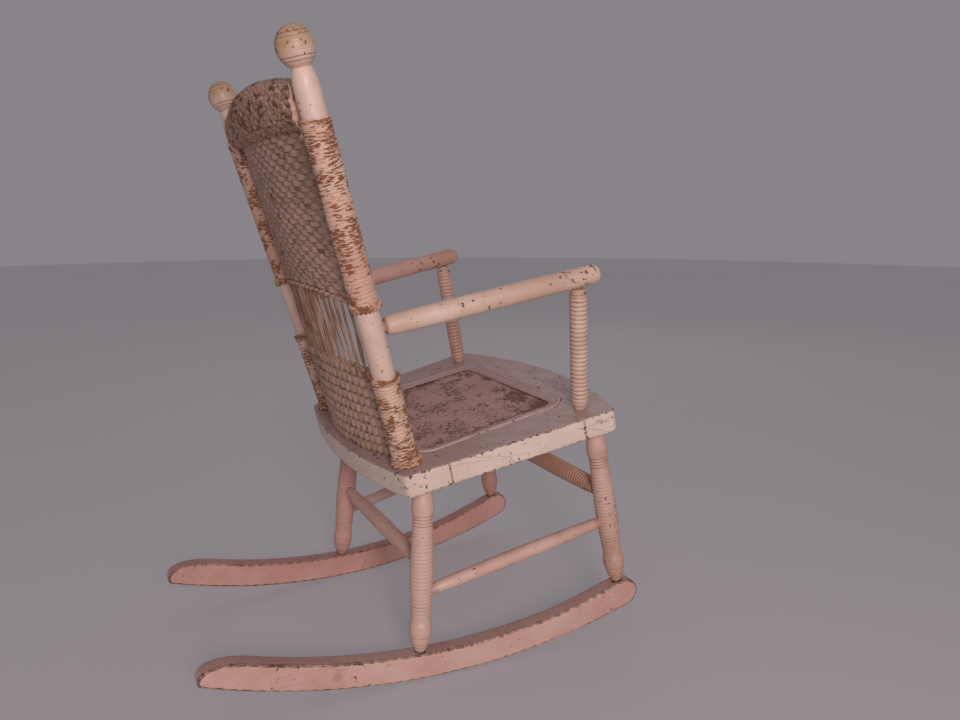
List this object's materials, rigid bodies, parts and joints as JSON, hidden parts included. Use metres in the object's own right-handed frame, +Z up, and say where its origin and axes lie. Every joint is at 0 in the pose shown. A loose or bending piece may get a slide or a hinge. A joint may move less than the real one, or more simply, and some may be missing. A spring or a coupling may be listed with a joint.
{
  "type": "child rocking armchair",
  "caption": "Child's rocking armchair: turned frame on curved rockers, woven fibre back with a rolled top edge, woven seat panel, two arms.",
  "frame": {"origin": "middle of the bounding box in plan, on the floor the rockers stand on", "axes": "+Z up, -Y towards the front of the chair, +X towards the sitter's left"},
  "size_m": [0.3704, 0.4892, 0.6392],
  "materials": {
    "painted_turnings": "old pale pink gloss paint on turned wood, small brown chips",
    "painted_seat": "old mauve pink paint, worn edges, cracked at the glued seams",
    "painted_rockers": "salmon pink gloss paint, edges worn to dark brown",
    "painted_spline": "painted reed spline round the seat panel",
    "fibre_wrap": "twisted paper cord wound round the posts, pink paint worn to brown in bands",
    "fibre_weave": "woven paper cord, thin faded grey-pink paint with brown showing",
    "fibre_seat": "close-woven fibre sheet, mauve paint worn to brown at the edges",
    "bare_wood": "unpainted wood, hidden in the joints"
  },
  "bodies": {
    "root": {"arm_support_left": "painted_turnings", "arm_support_right": "painted_turnings", "armrest_left": "painted_turnings", "armrest_right": "painted_turnings", "back_head_roll": "fibre_weave", "back_post_left": "painted_turnings", "back_post_right": "painted_turnings", "back_stake_01": "fibre_weave", "back_stake_02": "fibre_weave", "back_stake_03": "fibre_weave", "back_stake_04": "fibre_weave", "back_stake_05": "fibre_weave", "back_stake_06": "fibre_weave", "back_stake_07": "fibre_weave", "back_stake_08": "fibre_weave", "back_stake_09": "fibre_weave", "back_stake_10": "fibre_weave", "back_stake_11": "fibre_weave", "back_stake_12": "fibre_weave", "back_stake_13": "fibre_weave", "back_stake_14": "fibre_weave", "back_stake_15": "fibre_weave", "back_stake_16": "fibre_weave", "back_stake_17": "fibre_weave", "back_stake_18": "fibre_weave", "back_stake_19": "fibre_weave", "back_stake_20": "fibre_weave", "back_stake_21": "fibre_weave", "back_top_bow": "bare_wood", "back_weave_lower": "fibre_weave", "back_weave_upper": "fibre_weave", "leg_front_left": "painted_turnings", "leg_front_right": "painted_turnings", "leg_rear_left": "painted_turnings", "leg_rear_right": "painted_turnings", "post_wrap_lower_left": "fibre_wrap", "post_wrap_lower_right": "fibre_wrap", "post_wrap_upper_left": "fibre_wrap", "post_wrap_upper_right": "fibre_wrap", "rocker_left": "painted_rockers", "rocker_right": "painted_rockers", "seat_dowel_front_left_1": "bare_wood", "seat_dowel_front_left_2": "bare_wood", "seat_dowel_front_right_1": "bare_wood", "seat_dowel_front_right_2": "bare_wood", "seat_dowel_rear_left_1": "bare_wood", "seat_dowel_rear_left_2": "bare_wood", "seat_dowel_rear_right_1": "bare_wood", "seat_dowel_rear_right_2": "bare_wood", "seat_front_rail": "painted_seat", "seat_left_rail": "painted_seat", "seat_panel": "fibre_seat", "seat_rear_rail": "painted_seat", "seat_right_rail": "painted_seat", "seat_spline": "painted_spline", "stretcher_front": "painted_turnings", "stretcher_left": "painted_turnings", "stretcher_rear": "painted_turnings", "stretcher_right": "painted_turnings"}
  },
  "joints": []
}
